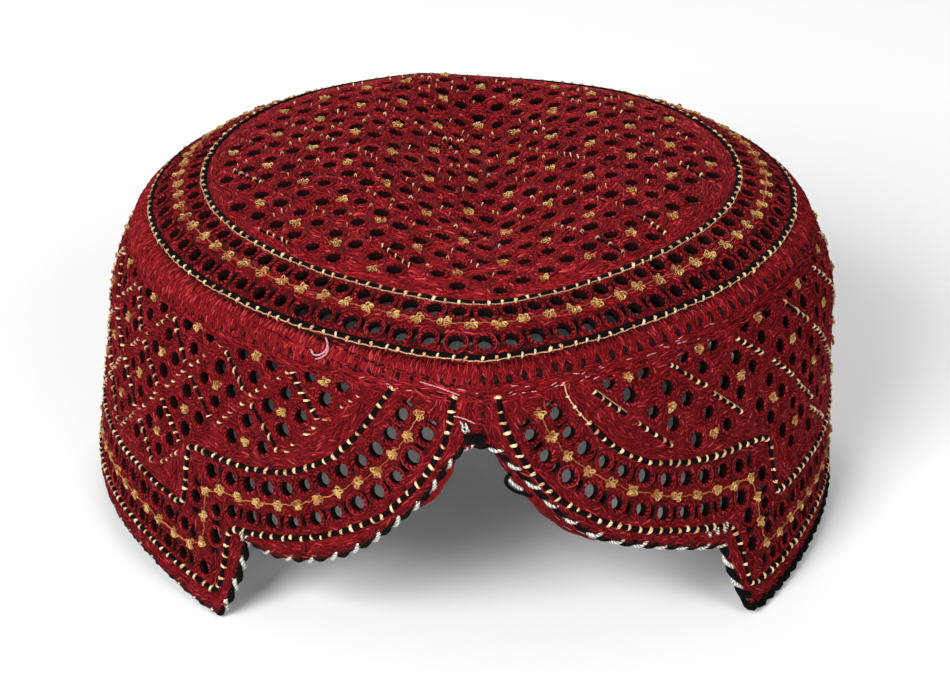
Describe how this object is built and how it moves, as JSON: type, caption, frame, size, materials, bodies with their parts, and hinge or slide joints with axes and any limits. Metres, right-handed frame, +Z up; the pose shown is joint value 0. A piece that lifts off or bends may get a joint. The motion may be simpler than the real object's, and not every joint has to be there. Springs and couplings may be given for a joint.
{
  "type": "sindhi cap",
  "caption": "Rigid round embroidered cap with a flat pierced crown, a deep flared side band and an arched opening with two lobes over the forehead",
  "frame": {"origin": "on the surface that the cap stands on, under the middle of its bounding box", "axes": "+Z up through the crown; -Y is the front, with the arched opening over the forehead; +X is the wearer's left, on the right of the front view"},
  "size_m": [0.17, 0.1788, 0.0757],
  "materials": {
    "crown_cloth": "matte embroidered cotton, dark red",
    "seam_stitching": "matte satin stitch, red",
    "band_cloth": "matte embroidered cotton, dark red",
    "edge_cord": "twisted black and silver thread"
  },
  "bodies": {
    "root": {"crown": "crown_cloth", "seam_roll": "seam_stitching", "side_band": "band_cloth", "edge_cord": "edge_cord"}
  },
  "joints": []
}
